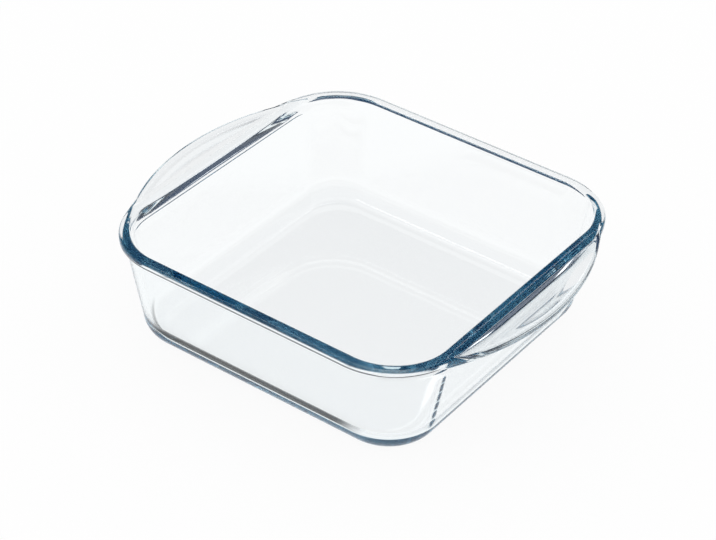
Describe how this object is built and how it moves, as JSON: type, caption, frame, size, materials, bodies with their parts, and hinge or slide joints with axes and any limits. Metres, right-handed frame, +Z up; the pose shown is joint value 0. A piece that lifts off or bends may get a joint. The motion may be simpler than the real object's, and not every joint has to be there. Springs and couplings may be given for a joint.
{
  "type": "square glass baking dish",
  "caption": "Square pressed-glass baking dish with leaning walls, a rounded rim band and a lug handle on each of two opposite sides.",
  "frame": {"origin": "middle of the flat base, on the surface that the dish stands on", "axes": "+Z up out of the dish, +X towards one of the two handles, +Y along the plain sides' normal"},
  "size_m": [0.247, 0.21, 0.065],
  "materials": {
    "clear_glass": "clear pressed borosilicate-like glass, fire-polished, with a blue tint in its thick edges"
  },
  "bodies": {
    "root": {"glass_dish": "clear_glass"}
  },
  "joints": []
}
